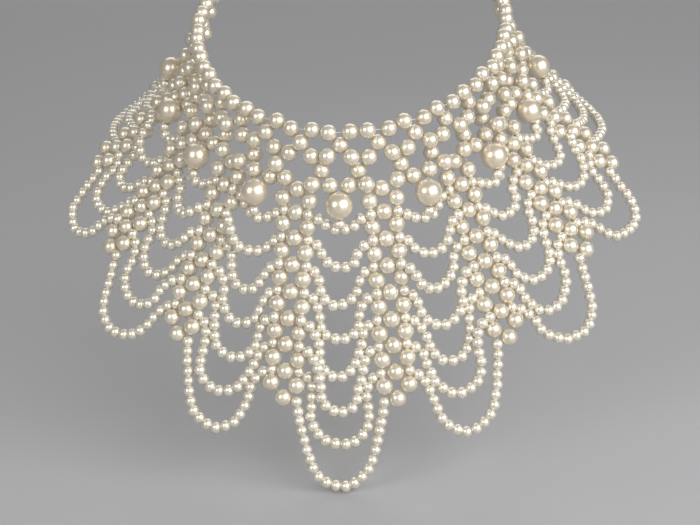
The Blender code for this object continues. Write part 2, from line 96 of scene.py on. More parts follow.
@dataclass(frozen=True)
class BeadForm:
    """One kind of bead: its size, its length along the thread as a share of its width, and its faces."""

    radius: float
    length_share: float
    segments: int
    rings: int


PEARL = BeadForm(radius=0.0030, length_share=0.985, segments=12, rings=6)
SEED = BeadForm(radius=0.00210, length_share=0.90, segments=10, rings=6)
DROP = BeadForm(radius=0.0048, length_share=1.0, segments=32, rings=20)


@dataclass(frozen=True)
class CollarSurface:
    """The smooth surface through the middles of the collar's pearls."""

    half_width: float = 0.0595
    front_reach: float = 0.0750
    back_reach: float = 0.0500
    rise_to_nape: float = 0.357
    front_slopes: tuple[float, float] = (81.0, 75.5)
    side_slopes: tuple[float, float] = (88.0, 28.0)
    nape_slopes: tuple[float, float] = (80.0, 16.0)
    front_fade: float = 1.4
    nape_fade: float = 1.25
    nape_turn: float = 3.2
    nape_turn_depth: float = 0.0480
    slope_ease: float = 0.0225
    slope_steps: int = 16
    angle_steps: int = 720
    probe: float = 0.0004

    def neckline(self, angle: np.ndarray) -> np.ndarray:
        """Points of the neckline.

        Args:
            angle: Angles from the centre front, in radians.

        Returns:
            One point for each angle, with its coordinates last.
        """
        y = -self.reach(angle) * np.cos(angle)
        return np.stack([self.half_width * np.sin(angle), y, self.rise_to_nape * y], axis=-1)

    def reach(self, angle: np.ndarray) -> np.ndarray:
        """How far the neckline reaches forward or backward at these angles."""
        return np.where(np.cos(angle) > 0.0, self.front_reach, self.back_reach)

    @cached_property
    def angle_table(self) -> tuple[np.ndarray, np.ndarray]:
        """The right half of the neckline in steps.

        Returns:
            Lengths along it, and the angle at each.
        """
        angles = np.linspace(0.0, math.pi, self.angle_steps + 1)
        steps = np.linalg.norm(np.diff(self.neckline(angles), axis=0), axis=1)
        return np.concatenate([[0.0], np.cumsum(steps)]), angles

    @property
    def half_loop(self) -> float:
        """Length of the neckline from the centre front to the nape."""
        return float(self.angle_table[0][-1])

    def angle(self, along: np.ndarray) -> np.ndarray:
        """The angle at each signed length along the neckline."""
        lengths, angles = self.angle_table
        return np.sign(along) * np.interp(np.abs(along), lengths, angles)

    def slopes(self, angle: np.ndarray) -> tuple[np.ndarray, np.ndarray]:
        """The surface's slope from level, at the neckline and far below it.

        Args:
            angle: Angles from the centre front, in radians.

        Returns:
            The two slopes at each angle, in radians.
        """
        front = np.maximum(np.cos(angle), 0.0) ** self.front_fade
        nape = np.maximum(-np.cos(angle), 0.0) ** self.nape_fade
        side = 1.0 - front - nape
        blend = [
            np.radians(front * f + side * s + nape * n)
            for f, s, n in zip(self.front_slopes, self.side_slopes, self.nape_slopes)
        ]
        return blend[0], blend[1]

    def point(self, along: np.ndarray, down: np.ndarray, height: float = 0.0) -> np.ndarray:
        """Points of the collar.

        Args:
            along: Signed lengths along the neckline from the centre front.
            down: Depths down the surface below the neckline.
            height: Height off the surface.

        Returns:
            One point for each place, with its coordinates last.
        """
        along, down = np.broadcast_arrays(np.asarray(along, float), np.asarray(down, float))
        angle = self.angle(along)
        near, far = self.slopes(angle)
        shares = (np.arange(self.slope_steps) + 0.5) / self.slope_steps
        fade = np.exp(-down[..., None] * shares / self.slope_ease)
        slope = far[..., None] + (near - far)[..., None] * fade
        out = np.cos(slope).mean(axis=-1) * down
        fall = np.sin(slope).mean(axis=-1) * down
        lean = far + (near - far) * np.exp(-down / self.slope_ease)
        turned = (self.nape_turn - 1.0) * (1.0 - np.exp(-((down / self.nape_turn_depth) ** 2)))
        turn = np.where(np.cos(angle) > 0.0, 1.0, 1.0 + turned) / self.reach(angle)
        away = np.stack([np.sin(angle) / self.half_width, -np.cos(angle) * turn], axis=-1)
        away = away / np.linalg.norm(away, axis=-1, keepdims=True)
        place = self.neckline(angle)
        place[..., :2] += away * (out + height * np.sin(lean))[..., None]
        place[..., 2] += height * np.cos(lean) - fall
        return place

    def directions(self, along: np.ndarray, down: np.ndarray) -> tuple[np.ndarray, np.ndarray, np.ndarray]:
        """The surface's directions at each place.

        Args:
            along: Signed lengths along the neckline.
            down: Depths below the neckline.

        Returns:
            The way along the neckline and the way down, both per metre, and the outward normal.
        """
        step = self.probe
        sideways = (self.point(along + step, down) - self.point(along - step, down)) / (2 * step)
        downward = (self.point(along, down + step) - self.point(along, down - step)) / (2 * step)
        outward = np.cross(downward, sideways)
        return sideways, downward, outward / np.linalg.norm(outward, axis=-1, keepdims=True)

    def nearest(
        self, points: np.ndarray, along: np.ndarray, down: np.ndarray, rounds: int
    ) -> tuple[np.ndarray, np.ndarray, np.ndarray, np.ndarray]:
        """The places of the surface nearest to some points.

        Args:
            points: The points.
            along: First guess of each place's length along the neckline.
            down: First guess of each place's depth.
            rounds: How many times the guess is bettered.

        Returns:
            Length along, depth, height off the surface, and outward normal at each place.
        """
        for _ in range(rounds):
            sideways, downward, outward = self.directions(along, down)
            miss = points - self.point(along, down)
            ss = (sideways * sideways).sum(-1)
            dd = (downward * downward).sum(-1)
            sd = (sideways * downward).sum(-1)
            area = ss * dd - sd * sd
            ms, md = (miss * sideways).sum(-1), (miss * downward).sum(-1)
            along = along + (ms * dd - md * sd) / area
            down = down + (md * ss - ms * sd) / area
        height = ((points - self.point(along, down)) * outward).sum(-1)
        return along, down, height, outward

    def beside(self, along: float, down: float, offset: float) -> float:
        """Neckline length of a place that lies a real distance beside another one.

        Args:
            along: The other place's length along the neckline.
            down: Its depth.
            offset: Signed real distance beside it.

        Returns:
            The new place's length along the neckline.
        """
        spread = np.linalg.norm(self.directions(np.array(along), np.array(down))[0])
        return float(along + offset / spread)


@dataclass(frozen=True)
class NetPearl:
    """One pearl of the net's repeat: its row, its share of a unit from the middle, its depth in pearls."""

    row: Row
    along: float
    depth: float


@dataclass(frozen=True)
class CollarPlan:
    """Where the collar's beads go before they are pushed together."""

    surface: CollarSurface = CollarSurface()
    unit_count: int = 9
    unit_spacing: float = 0.0276
    levels_from_centre: tuple[int, ...] = (8, 7, 6, 5, 4)
    ladder_half_split: float = 0.0042
    ladder_pitch: float = 0.0094
    first_single: float = 0.0284
    net: tuple[NetPearl, ...] = (
        NetPearl(Row.SECOND, 0.0, 0.75),
        NetPearl(Row.SECOND, 0.5, 0.75),
        NetPearl(Row.THIRD, 0.141, 1.38),
        NetPearl(Row.THIRD, 0.359, 1.38),
        NetPearl(Row.FOURTH, 0.235, 2.25),
        NetPearl(Row.FIFTH, 0.115, 3.00),
        NetPearl(Row.FIFTH, 0.325, 2.90),
        NetPearl(Row.LADDER_TOP, 0.5, 3.32),
    )
    end_pearl_along: float = 0.022
    end_pearl_depth: float = 2.25
    drop_proud: float = 0.0024
    stopper_lean: float = 0.25
    piece_gap: float = 0.0003
    swell_depth: float = 0.0300
    most_swell: float = 0.060
    clasp_length: float = 0.0115

    @property
    def units(self) -> range:
        """Numbers of the units from the left end to the right, with 0 at the centre front."""
        half = self.unit_count // 2
        return range(-half, half + 1)

    @property
    def ladders(self) -> range:
        """Numbers of the ladders: each stands at the right end of the unit of its number."""
        return range(self.units.start - 1, self.units.stop)

    def ladder_along(self, index: int) -> float:
        """Neckline length of a ladder."""
        return (index + 0.5) * self.unit_spacing

    def ladder_levels(self, index: int) -> int:
        """How many levels a ladder has."""
        return self.levels_from_centre[int(abs(index + 0.5))]

    def swag_levels(self, unit: int) -> int:
        """How many swags hang in a unit."""
        return min(self.ladder_levels(unit - 1), self.ladder_levels(unit))

    def single_depth(self, level: int) -> float:
        """Depth of a ladder's single pearl at this level, counted from 1."""
        return self.first_single + (level - 1) * self.ladder_pitch

    def pair_depth(self, level: int) -> float:
        """Depth of a ladder's pair of pearls, halfway between its singles."""
        return self.single_depth(level) - self.ladder_pitch / 2

    def swell(self, down: np.ndarray) -> np.ndarray:
        """How much larger the beads are than their form at each depth, for the pearls are graded."""
        return 1.0 + self.most_swell * (1.0 - np.exp(-down / self.swell_depth))

    def strand_places(self) -> list[tuple[float, float]]:
        """The neckline strand's pearls, in touching pairs in front and evenly spaced behind.

        Returns:
            Length along and depth of each, from one end of the clasp round to the other.
        """
        pairs = 2 * self.unit_count
        middles = [(pair - (pairs - 1) / 2) * self.unit_spacing / 2 for pair in range(pairs)]
        front = [middle + side.value * PEARL.radius for middle in middles for side in Side]
        start = self.unit_count * self.unit_spacing / 2
        end = self.surface.half_loop - self.clasp_length / 2 - self.piece_gap
        count = int((end - start) / (2 * PEARL.radius))
        back = [start + (number + 0.5) * (end - start) / count for number in range(count)]
        return [(along, 0.0) for along in [-a for a in reversed(back)] + front + back]

    def net_places(self) -> list[tuple[float, float]]:
        """Every pearl of the net.

        Returns:
            Length along and depth of each, with those of the two that close its ends last.
        """
        places = []
        for unit in self.units:
            for pearl in self.net:
                for side in Side:
                    repeat = side is Side.RIGHT and pearl.along == 0.0
                    shared = side is Side.LEFT and pearl.along == 0.5 and unit > self.units.start
                    if not repeat and not shared:
                        along = (unit + side.value * pearl.along) * self.unit_spacing
                        places.append((along, pearl.depth * 2 * PEARL.radius))
        for side in Side:
            along = side.value * (self.unit_count / 2 + self.end_pearl_along) * self.unit_spacing
            places.append((along, self.end_pearl_depth * 2 * PEARL.radius))
        return places

    def ladder_places(self, index: int) -> list[tuple[float, float]]:
        """A ladder's pearls.

        Args:
            index: The ladder's number.

        Returns:
            Length along and depth of each from the top: two of a pair, the single under them, and so on.
        """
        places = []
        middle = self.ladder_along(index)
        for level in range(1, self.ladder_levels(index) + 1):
            pair = self.pair_depth(level)
            for side in Side:
                places.append((self.surface.beside(middle, pair, side.value * self.ladder_half_split), pair))
            places.append((middle, self.single_depth(level)))
        return places

    def drop_depth(self) -> float:
        """Where a drop hangs, under the two middle pearls of the net's fifth row.

        Returns:
            Depth of its middle.
        """
        seat = next(pearl for pearl in self.net if pearl.row is Row.FIFTH)
        depth = seat.depth * 2 * PEARL.radius
        sideways = np.linalg.norm(self.surface.directions(np.array(0.0), np.array(depth))[0])
        aside = seat.along * self.unit_spacing * sideways
        reach = DROP.radius + PEARL.radius
        return depth + math.sqrt(reach**2 - aside**2 - self.drop_proud**2)


def push_off(apart: np.ndarray, room: float | np.ndarray, share: float) -> np.ndarray:
    """How far overlapping beads move along the line between their middles.

    Args:
        apart: The line from one middle to the other, a row for each pair.
        room: The distance that the middles need.
        share: The share of the lack that one move makes up.

    Returns:
        The move of each pair.
    """
    distance = np.maximum(np.linalg.norm(apart, axis=1), LEAST_DISTANCE)
    lack = np.maximum(room - distance, 0.0)
    return apart / distance[:, None] * (lack * share)[:, None]


@dataclass
class WovenBeads:
    """The round pearls and drops of the whole collar, which hold each other in place."""

    plan: CollarPlan
    rounds: int = 160
    hold: float = 0.04
    clearance: float = 0.00004
    wander: float = 0.00016
    touch_range: float = 0.016
    push_share: float = 0.5
    seed: int = 11
    places: np.ndarray = field(init=False)
    radii: np.ndarray = field(init=False)
    owners: list[str] = field(init=False, default_factory=list)

    def __post_init__(self) -> None:
        """Lay the beads out by the plan and push them apart where they overlap."""
        surface, plan = self.plan.surface, self.plan
        groups = {"neckline_strand": plan.strand_places(), "net": plan.net_places()}
        for number, index in enumerate(plan.ladders, start=1):
            groups[f"ladder_{number}"] = plan.ladder_places(index)
        places, radii = [], []
        for owner, group in groups.items():
            along, down = np.array(group).T
            places.append(surface.point(along, down))
            radii.append(PEARL.radius * plan.swell(down))
            self.owners += [owner] * len(group)
        for number, unit in enumerate(plan.units, start=1):
            along, down = np.array([unit * plan.unit_spacing]), np.array([plan.drop_depth()])
            places.append(surface.point(along, down, plan.drop_proud))
            radii.append(np.full(1, DROP.radius))
            self.owners.append(f"drop_pearl_{number}")
        self.places = np.concatenate(places)
        self.radii = np.concatenate(radii)
        self.settle()

    def settle(self) -> None:
        """Push overlapping beads apart, a little at a time, while each is drawn to its planned place."""
        random = np.random.default_rng(self.seed)
        home = self.places + random.normal(0.0, self.wander, self.places.shape)
        places = home.copy()
        first, second = np.triu_indices(len(places), 1)
        near = np.linalg.norm(places[first] - places[second], axis=1) < self.touch_range
        first, second = first[near], second[near]
        room = self.radii[first] + self.radii[second] + self.clearance
        for _ in range(self.rounds):
            places += (home - places) * self.hold
            push = push_off(places[second] - places[first], room, self.push_share)
            np.add.at(places, first, -push)
            np.add.at(places, second, push)
        self.places = places

    def of(self, owner: str) -> np.ndarray:
        """Places of one node's beads."""
        return self.places[[i for i, name in enumerate(self.owners) if name == owner]]


def hanging_curve(width: float, drop: float, length: float, shares: np.ndarray) -> np.ndarray:
    """A string hung between two points.

    Args:
        width: Distance across from the first point to the second.
        drop: Distance down from the first point to the second.
        length: The string's length.
        shares: Shares of the length at which points are wanted.

    Returns:
        The points as distance across and distance down from the first point.
    """
    ratio = math.sqrt(length * length - drop * drop) / width
    low, high = CURVE_RANGE
    for _ in range(CURVE_HALVINGS):
        middle = (low + high) / 2
        low, high = (middle, high) if math.sinh(middle) / middle < ratio else (low, middle)
    sharpness = width / (2 * low)
    lowest = width / 2 + sharpness * math.atanh(drop / length)
    bend = math.sinh(-lowest / sharpness) + length * shares / sharpness
    across = lowest + sharpness * np.arcsinh(bend)
    down = sharpness * (math.cosh(lowest / sharpness) - np.cosh((across - lowest) / sharpness))
    return np.stack([across, down], axis=-1)


@dataclass
class Swag:
    """One string of seed beads between two neighbouring ladders."""

    unit: int
    level: int
    count: int
    mouths: np.ndarray
    beads: np.ndarray


@dataclass
class SwagDrape:
    """All the seed-bead swags, hung between the ladders and settled on the surface."""

    plan: CollarPlan
    woven: WovenBeads
    first_count: int = 8
    seeds_per_level: int = 2
    pitch: float = 0.00354
    least_slack: float = 1.08
    bare_thread: float = 0.00015
    contact_radius: float = 0.00180
    rounds: int = 420
    fall_per_round: float = 0.00006
    press_per_round: float = 0.000025
    first_lift: float = 0.0036
    lift_run: float = 3.0
    guess_share: float = 0.8
    least_ease: float = 0.15
    relist_every: int = 10
    inner_rounds: int = 4
    push_share: float = 0.45
    slide_share: float = 0.8
    touch_range: float = 0.0085
    pair_range: float = 3.0
    free_bend: float = 0.30
    bend_spread: float = 0.08
    least_bend: float = 0.05
    stiffness: float = 0.35
    hang_search: int = 5
    settle_search: int = 6
    seed: int = 23
    swags: list[Swag] = field(init=False, default_factory=list)

    def __post_init__(self) -> None:
        """Hang every swag and let all of them settle."""
        for number, unit in enumerate(self.plan.units, start=1):
            for level in range(1, self.plan.swag_levels(unit) + 1):
                self.swags.append(self.hang(number, unit, level))
        self.settle()

    def single(self, ladder_number: int, level: int) -> np.ndarray:
        """The settled place of a ladder's single pearl, the last of its level's three."""
        return self.woven.of(f"ladder_{ladder_number}")[3 * level - 1]

    def hang(self, number: int, unit: int, level: int) -> Swag:
        """A swag in its first shape, a hanging curve on the surface.

        Args:
            number: The unit's number from the left end, counted from 1.
            unit: The unit's number from the centre front.
            level: The swag's level.

        Returns:
            The swag with a place for each bead.
        """
        surface, plan = self.plan.surface, self.plan
        depth = plan.single_depth(level)
        ends = [self.single(number, level), self.single(number + 1, level)]
        mouths = []
        for end, index, side in zip(ends, (unit - 1, unit), (1, -1)):
            sideways = surface.directions(np.array(plan.ladder_along(index)), np.array(depth))[0]
            mouths.append(end + side * sideways / np.linalg.norm(sideways) * PEARL.radius)
        middle = np.array(unit * plan.unit_spacing)
        downhill = surface.directions(middle, np.array(depth))[1]
        downhill /= np.linalg.norm(downhill)
        chord = mouths[1] - mouths[0]
        across = chord - downhill * chord.dot(downhill)
        across /= np.linalg.norm(across)
        fewest = round(np.linalg.norm(chord) * self.least_slack / self.pitch)
        count = max(self.first_count + self.seeds_per_level * (level - 1), fewest)
        length = count * self.pitch + 2 * self.bare_thread
        shares = (self.bare_thread + (np.arange(count) + 0.5) * self.pitch) / length
        curve = hanging_curve(chord.dot(across), chord.dot(downhill), length, shares)
        points = mouths[0] + curve[:, :1] * across + curve[:, 1:] * downhill
        guess = middle + (curve[:, 0] / np.linalg.norm(chord) - 0.5) * plan.unit_spacing * self.guess_share
        along, down, _height, outward = surface.nearest(points, guess, depth + curve[:, 1], self.hang_search)
        near = np.minimum(np.arange(count), np.arange(count)[::-1])
        lift = self.first_lift * np.exp(-((near / self.lift_run) ** 2))
        beads = surface.point(along, down) + outward * (self.contact_radius - PEARL.radius + lift)[:, None]
        return Swag(unit, level, count, np.array(mouths), beads)

    def settle(self) -> None:
        """Let the strings fall and slide until they rest on the surface and against other beads."""
        surface, plan = self.plan.surface, self.plan
        counts = [swag.count for swag in self.swags]
        starts = np.concatenate([[0], np.cumsum(counts)[:-1]])
        places = np.concatenate([swag.beads for swag in self.swags])
        string = np.repeat(np.arange(len(counts)), counts)
        link = np.array([i for s, c in zip(starts, counts) for i in range(s, s + c - 1)])
        order = np.concatenate([np.arange(c - 1) % 2 for c in counts])
        ends = np.concatenate([starts, starts + np.array(counts) - 1])
        mouths = np.concatenate([[swag.mouths[side] for swag in self.swags] for side in (0, 1)])
        slack = self.bare_thread + self.pitch / 2
        along = np.concatenate([np.full(swag.count, swag.unit * plan.unit_spacing) for swag in self.swags])
        down = np.concatenate([np.full(swag.count, plan.single_depth(swag.level)) for swag in self.swags])
        along, down, _height, _out = surface.nearest(places, along, down, self.settle_search)
        fixed, fixed_radii = self.obstacles()
        inner = np.array([i for s, c in zip(starts, counts) for i in range(s + 1, s + c - 1)])
        random = np.random.default_rng(self.seed)
        bends = random.normal(self.free_bend, self.bend_spread, len(inner)).clip(self.least_bend)
        free = self.pitch * np.sin(bends / 2)
        lowest = self.contact_radius - PEARL.radius
        for step in range(self.rounds):
            ease = max(self.least_ease, 1.0 - step / self.rounds)
            if step % self.relist_every == 0:
                pairs, against = self.neighbours(places, string, fixed)
            along, down, _height, outward = surface.nearest(places, along, down, 1)
            downhill = surface.directions(along, down)[1]
            downhill /= np.linalg.norm(downhill, axis=1, keepdims=True)
            places += (downhill * self.fall_per_round - outward * self.press_per_round) * ease
            for _ in range(self.inner_rounds):
                for half in (0, 1):
                    a = link[order == half]
                    gap = places[a + 1] - places[a]
                    length = np.linalg.norm(gap, axis=1, keepdims=True)
                    shift = gap * (1.0 - self.pitch / length) / 2
                    places[a] += shift
                    places[a + 1] -= shift
                sag = (places[inner - 1] + places[inner + 1]) / 2 - places[inner]
                depth = np.linalg.norm(sag, axis=1)
                excess = np.maximum(1.0 - free / np.maximum(depth, LEAST_SAG), 0.0)
                bend = sag * (self.stiffness * excess / 2)[:, None]
                np.add.at(places, inner, bend)
                np.add.at(places, inner - 1, -bend / 2)
                np.add.at(places, inner + 1, -bend / 2)
                reach = places[ends] - mouths
                length = np.linalg.norm(reach, axis=1)
                pull = np.where(length > slack, 1.0 - slack / length, 0.0)
                places[ends] -= reach * pull[:, None]
                self.part(places, pairs, against, fixed, fixed_radii)
            miss = ((places - surface.point(along, down)) * outward).sum(-1)
            places += outward * np.maximum(lowest - miss, 0.0)[:, None]
        for swag, start in zip(self.swags, starts):
            swag.beads = places[start : start + swag.count]

    def obstacles(self) -> tuple[np.ndarray, np.ndarray]:
        """What the swags lie against: the woven pearls, the drops and the stopper bead under each drop.

        Returns:
            Their places and their radii.
        """
        numbers = range(1, self.plan.unit_count + 1)
        stoppers = np.array([stopper_place(self.plan, self.woven, number) for number in numbers])
        places = np.concatenate([self.woven.places, stoppers])
        return places, np.concatenate([self.woven.radii, np.full(len(stoppers), self.contact_radius)])

    def neighbours(
        self, places: np.ndarray, string: np.ndarray, fixed: np.ndarray
    ) -> tuple[np.ndarray, np.ndarray]:
        """Beads that may come to touch soon.

        Args:
            places: Places of the swags' beads.
            string: The swag of each bead.
            fixed: Places of the woven beads.

        Returns:
            Pairs of the swags' own beads, and pairs of one such bead with one woven bead.
        """
        first, second = np.triu_indices(len(places), 1)
        apart = np.linalg.norm(places[first] - places[second], axis=1)
        adjacent = (string[first] == string[second]) & (second - first == 1)
        near = (apart < self.pair_range * self.contact_radius) & ~adjacent
        pairs = np.stack([first[near], second[near]])
        distance = np.linalg.norm(places[:, None] - fixed[None], axis=2)
        return pairs, np.stack(np.nonzero(distance < self.touch_range))

    def part(
        self,
        places: np.ndarray,
        pairs: np.ndarray,
        against: np.ndarray,
        fixed: np.ndarray,
        fixed_radii: np.ndarray,
    ) -> None:
        """Push overlapping beads apart, in place.

        Args:
            places: Places of the swags' beads.
            pairs: Pairs of these beads that lie near each other.
            against: Pairs of such a bead and a woven bead.
            fixed: Places of the woven beads.
            fixed_radii: Their radii.
        """
        a, b = pairs
        push = push_off(places[b] - places[a], 2 * self.contact_radius, self.push_share)
        np.add.at(places, a, -push)
        np.add.at(places, b, push)
        a, b = against
        room = self.contact_radius + fixed_radii[b]
        np.add.at(places, a, push_off(places[a] - fixed[b], room, self.slide_share))


def stopper_place(plan: CollarPlan, woven: WovenBeads, number: int) -> np.ndarray:
    """The small bead that holds a drop on its thread.

    Args:
        plan: The collar's plan.
        woven: The settled pearls and drops.
        number: The drop's number from the left end, counted from 1.

    Returns:
        The bead's middle, right under the drop.
    """
    drop = woven.of(f"drop_pearl_{number}")[0]
    along = np.array((number - 1 + plan.units.start) * plan.unit_spacing)
    downward, outward = plan.surface.directions(along, np.array(plan.drop_depth()))[1:]
    way = downward / np.linalg.norm(downward) - plan.stopper_lean * outward
    return drop + way / np.linalg.norm(way) * (DROP.radius + SEED.radius * SEED.length_share)


Colour = tuple[float, float, float, float]


def live(sockets: bpy_prop_collection, name: str) -> NodeSocket:
    """The socket of this name that the node's settings leave in use."""
    return next(socket for socket in sockets if socket.name == name and socket.enabled)


def add_node(
    tree: NodeTree, kind: str, feeds: dict | None = None, **settings: object
) -> Node:
    """Add a node and feed its sockets.

    Args:
        tree: The tree it goes into.
        kind: The node's type.
        feeds: For each socket's name or number, a value or the socket that feeds it.
        settings: The node's own settings.

    Returns:
        The new node.
    """
    node = tree.nodes.new(kind)
    for name, value in settings.items():
        setattr(node, name, value)
    for key, value in (feeds or {}).items():
        socket = node.inputs[key] if isinstance(key, int) else live(node.inputs, key)
        if isinstance(value, NodeSocket):
            tree.links.new(value, socket)
        else:
            socket.default_value = value
    return node


def add_sum(tree: NodeTree, operation: str, *values: object) -> NodeSocket:
    """The result of one sum on numbers or sockets."""
    return add_node(tree, "ShaderNodeMath", dict(enumerate(values)), operation=operation).outputs[0]


def add_object(name: str, data: ID) -> Object:
    """Add an object to the scene.

    Args:
        name: Its name.
        data: Its mesh, lamp or lens.

    Returns:
        The object, at the origin.
    """
    item = bpy.data.objects.new(name, data)
    bpy.context.scene.collection.objects.link(item)
    return item


class SurfaceNodes:
    """A material patterned on the piece's own coordinates, with the nodes that the finishes share."""

    def __init__(self, name: str) -> None:
        """Start the material.

        Args:
            name: Its name.
        """
        self.material = bpy.data.materials.new(name)
        self.material.use_nodes = True
        self.tree = self.material.node_tree
        self.shader = self.tree.nodes["Principled BSDF"]
        self.place = add_node(self.tree, "ShaderNodeTexCoord").outputs["Object"]

    def stretch(self, scale: tuple[float, float, float]) -> None:
        """Stretch the pattern along the axes."""
        feeds = {"Vector": self.place, "Scale": scale}
        self.place = add_node(self.tree, "ShaderNodeMapping", feeds).outputs["Vector"]

    def noise(self, scale: float, detail: float) -> NodeSocket:
        """Soft noise of a scale and a detail."""
        feeds = {"Vector": self.place, "Scale": scale, "Detail": detail}
        return add_node(self.tree, "ShaderNodeTexNoise", feeds).outputs["Fac"]

    def feed(self, channel: str, node: Node, output: str) -> None:
        """Let a node's output drive one of the shader's channels."""
        self.tree.links.new(live(node.outputs, output), self.shader.inputs[channel])

    def colour(self, share: NodeSocket, first: Colour, second: Colour) -> None:
        """Mix the colour from two by a share."""
        feeds = {"Factor": share, "A": first, "B": second}
        self.feed("Base Color", add_node(self.tree, "ShaderNodeMix", feeds, data_type="RGBA"), "Result")

    def roughness(self, share: NodeSocket, gloss: tuple[float, float]) -> None:
        """Let the roughness range between two values by a share."""
        feeds = {"Value": share, "To Min": gloss[0], "To Max": gloss[1]}
        self.feed("Roughness", add_node(self.tree, "ShaderNodeMapRange", feeds), "Result")

    def bump(self, height: NodeSocket, depth: float, strength: float) -> None:
        """Raise the surface by a height."""
        feeds = {"Height": height, "Distance": depth, "Strength": strength}
        self.feed("Normal", add_node(self.tree, "ShaderNodeBump", feeds), "Normal")

    def fixed(self, values: dict[str, float]) -> None:
        """Set what is the same all over the surface."""
        for name, value in values.items():
            self.shader.inputs[name].default_value = value


@dataclass(frozen=True)
class CoatFinish:
    """A pearl coat: two shades of ivory, mixed bead by bead and over each bead, under a glossy skin."""

    name: str
    pale: Colour
    warm: Colour
    patch_scale: float = 170.0
    patch_detail: float = 3.0
    grain_scale: float = 1500.0
    grain_detail: float = 2.0
    grain_height: float = 0.00002
    grain_strength: float = 0.6
    patch_share: float = 0.7
    patch_shift: float = -0.2
    tint_share: float = 0.55
    gloss: tuple[float, float] = (0.26, 0.38)
    sheen_share: float = 0.60
    coat: float = 0.80
    coat_roughness: float = 0.08

    def material(self) -> Material:
        """Build the finish.

        Returns:
            Its material.
        """
        nodes = SurfaceNodes(self.name)
        patch = nodes.noise(self.patch_scale, self.patch_detail)
        tint = add_node(nodes.tree, "ShaderNodeAttribute", attribute_name="tint").outputs["Fac"]
        share = add_sum(nodes.tree, "MULTIPLY_ADD", patch, self.patch_share, self.patch_shift)
        share = add_sum(nodes.tree, "MULTIPLY_ADD", tint, self.tint_share, share)
        share.node.use_clamp = True
        nodes.colour(share, self.pale, self.warm)
        nodes.roughness(patch, self.gloss)
        grain = nodes.noise(self.grain_scale, self.grain_detail)
        nodes.bump(grain, self.grain_height, self.grain_strength)
        nodes.fixed({"Metallic": self.sheen_share})
        nodes.fixed({"Coat Weight": self.coat, "Coat Roughness": self.coat_roughness})
        return nodes.material


@dataclass(frozen=True)
class ThreadFinish:
    """Clear nylon thread, which looks milky, with fine lines from its drawing."""

    name: str
    clear: Colour = (0.80, 0.76, 0.66, 1.0)
    milky: Colour = (0.90, 0.88, 0.82, 1.0)
    roughness: float = 0.32
    line_scale: float = 900.0
    line_detail: float = 2.0

    def material(self) -> Material:
        """Build the finish.

        Returns:
            Its material.
        """
        nodes = SurfaceNodes(self.name)
        nodes.colour(nodes.noise(self.line_scale, self.line_detail), self.clear, self.milky)
        nodes.fixed({"Roughness": self.roughness})
        return nodes.material


@dataclass(frozen=True)
class MetalFinish:
    """Brushed metal, with its brush lines round the barrel."""

    name: str
    bright: Colour = (0.66, 0.65, 0.62, 1.0)
    dull: Colour = (0.50, 0.49, 0.46, 1.0)
    gloss: tuple[float, float] = (0.22, 0.42)
    line_scale: float = 2600.0
    line_detail: float = 4.0
    line_stretch: float = 0.04
    line_depth: float = 0.00001
    line_strength: float = 0.5

    def material(self) -> Material:
        """Build the finish.

        Returns:
            Its material.
        """
        nodes = SurfaceNodes(self.name)
        nodes.stretch((1.0, self.line_stretch, self.line_stretch))
        lines = nodes.noise(self.line_scale, self.line_detail)
        nodes.colour(lines, self.bright, self.dull)
        nodes.roughness(lines, self.gloss)
        nodes.bump(lines, self.line_depth, self.line_strength)
        nodes.fixed({"Metallic": 1.0})
        return nodes.material


PEARL_COAT = CoatFinish("pearl_coat", pale=(0.84, 0.775, 0.64, 1.0), warm=(0.76, 0.67, 0.52, 1.0))
SEED_COAT = CoatFinish("seed_bead_coat", pale=(0.86, 0.81, 0.70, 1.0), warm=(0.79, 0.725, 0.59, 1.0))
DROP_COAT = CoatFinish("drop_pearl_coat", pale=(0.80, 0.705, 0.56, 1.0), warm=(0.75, 0.64, 0.49, 1.0))
CLASP_METAL = MetalFinish("clasp_metal")
CLEAR_THREAD = ThreadFinish("nylon_thread")


@dataclass(frozen=True)
class Finishes:
    """The materials of the beads and the clasp, made once."""

    pearl: Material
    seed: Material
    drop: Material
    metal: Material


